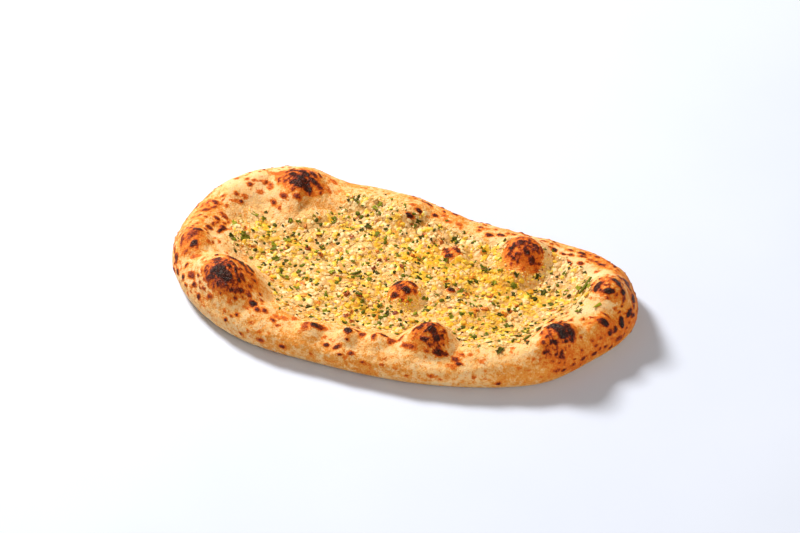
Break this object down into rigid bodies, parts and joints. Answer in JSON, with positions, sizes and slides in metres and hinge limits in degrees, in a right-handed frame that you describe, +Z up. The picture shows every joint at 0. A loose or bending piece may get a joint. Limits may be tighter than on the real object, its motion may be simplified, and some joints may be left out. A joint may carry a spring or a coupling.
{
  "type": "garlic naan",
  "caption": "Whole long flatbread of leavened dough with a puffed blistered rim and a middle spread with minced garlic, butter and chopped coriander, resting flat.",
  "frame": {"origin": "centre of the bounding box in plan, on the surface that the bread lies on", "axes": "+X along the bread's length, towards its narrower, more heavily spotted end; +Y across it, towards the side with the dent in its outline; +Z up, the spread side"},
  "size_m": [0.3142, 0.1738, 0.041],
  "materials": {
    "dough": "baked leavened dough, cream to golden with charred blisters, lightly brushed with butter",
    "garlic": "minced garlic crumbs, cream to toasted, moist",
    "butter": "yellow garlic butter bits, soft gloss",
    "coriander": "chopped coriander leaf, wilted dark green"
  },
  "bodies": {
    "root": {"naan": "dough"}
  },
  "joints": []
}
